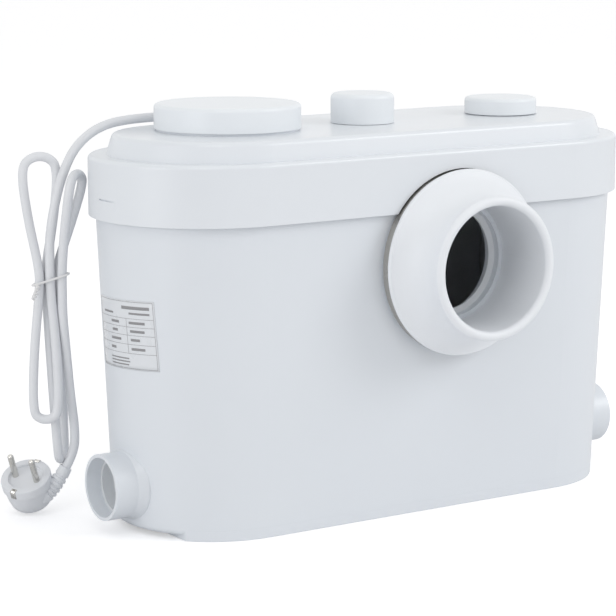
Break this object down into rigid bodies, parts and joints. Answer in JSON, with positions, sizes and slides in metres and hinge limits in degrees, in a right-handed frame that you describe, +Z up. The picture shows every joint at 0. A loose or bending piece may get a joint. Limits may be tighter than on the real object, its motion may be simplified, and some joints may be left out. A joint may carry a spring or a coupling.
{
  "type": "macerator toilet pump",
  "caption": "White macerator toilet pump: an oval plastic tank with a rubber pan inlet, side inlets, a lid with a motor cover, cutter pump, riser with non-return valve and a hanging mains cord",
  "frame": {"origin": "centre of the tank's underside, on the floor it stands on", "axes": "+X along the tank to the discharge end (right, seen from the pan), +Y to the back wall, +Z up; the pan's inlet faces -Y"},
  "size_m": [0.5108, 0.2381, 0.3178],
  "materials": {
    "tank_plastic": "smooth satin",
    "lid_plastic": "smooth satin",
    "cap_plastic": "smooth satin",
    "inlet_rubber": "smooth matt rubber",
    "grey_rubber": "matt rubber",
    "black_rubber": "matt rubber",
    "stainless": "brushed",
    "motor_aluminium": "die cast",
    "stator_steel": "laminated",
    "coil_wire": "lacquered wire",
    "inner_plastic": "moulded",
    "black_plastic": "moulded",
    "switch_metal": "polished",
    "capacitor_shell": "smooth",
    "filter_foam": "open foam",
    "cord_grey": "smooth flexible",
    "tie_white": "plastic-coated wire",
    "gland_plastic": "moulded",
    "pin_chrome": "polished"
  },
  "bodies": {
    "housing": {"tank": "tank_plastic", "inlet_spigot": "tank_plastic", "side_inlet_left": "tank_plastic", "side_inlet_right": "tank_plastic", "lid": "lid_plastic", "inlet_sleeve": "inlet_rubber", "inlet_lip": "grey_rubber", "side_seal_left": "grey_rubber", "side_seal_right": "grey_rubber", "lid_gasket": "black_rubber", "shaft_seal": "black_rubber", "diaphragm": "black_rubber", "clamp_band": "stainless", "clamp_screw": "stainless", "lower_bearing": "stainless", "upper_bearing": "stainless", "motor_screws": "stainless", "flap_pin": "stainless", "capacitor_clip": "stainless", "motor_housing": "motor_aluminium", "motor_end_bell": "motor_aluminium", "stator": "stator_steel", "stator_coils": "coil_wire", "dry_case": "inner_plastic", "riser_pipe": "inner_plastic", "check_valve_body": "inner_plastic", "dip_tube": "inner_plastic", "switch_cup": "inner_plastic", "switch_frame": "inner_plastic", "strainer_basket": "inner_plastic", "pump_volute": "black_plastic", "microswitch": "black_plastic", "terminal_block": "black_plastic", "capacitor": "capacitor_shell", "carbon_filter": "filter_foam", "cord_lead": "cord_grey", "cord_hank": "cord_grey", "cord_tail": "cord_grey", "cord_tie": "tie_white", "cable_gland": "gland_plastic", "plug_body": "gland_plastic", "plug_pins": "pin_chrome"},
    "motor_spindle": {"rotor": "motor_aluminium", "motor_shaft": "stainless", "cutter_blade": "stainless", "impeller": "black_plastic", "motor_fan": "black_plastic"},
    "flap": {"valve_flap": "black_rubber"},
    "rod": {"push_rod": "black_plastic"},
    "lever": {"switch_lever": "switch_metal"},
    "motor_cover": {"motor_cap": "cap_plastic"},
    "vent_cover": {"vent_cap": "cap_plastic"},
    "port_cover": {"port_cap": "cap_plastic"}
  },
  "joints": [
    {"name": "spindle_turn", "type": "hinge", "parent": "housing", "child": "motor_spindle", "pos_m": [-0.1155, 0.012, 0.15], "axis": [0, 0, 1], "continuous": true},
    {"name": "flap_swing", "type": "hinge", "parent": "housing", "child": "flap", "pos_m": [0.1555, 0, 0.2534], "axis": [0, 1, 0], "range_deg": [0, 60]},
    {"name": "rod_lift", "type": "slide", "parent": "housing", "child": "rod", "axis": [0, 0, 1], "range_m": [0, 0.002]},
    {"name": "lever_swing", "type": "hinge", "parent": "housing", "child": "lever", "pos_m": [-0.1775, -0.007, 0.1776], "axis": [1, 0, 0], "range_deg": [0, 12.8]},
    {"name": "motor_cover_lift", "type": "slide", "parent": "housing", "child": "motor_cover", "axis": [0, 0, 1], "range_m": [0, 0.04]},
    {"name": "vent_cover_lift", "type": "slide", "parent": "housing", "child": "vent_cover", "axis": [0, 0, 1], "range_m": [0, 0.04]},
    {"name": "port_cover_lift", "type": "slide", "parent": "housing", "child": "port_cover", "axis": [0, 0, 1], "range_m": [0, 0.04]}
  ],
  "couplings": [
    {"joint": "lever_swing", "follows": "rod_lift", "rad_per_m": 111.1}
  ]
}
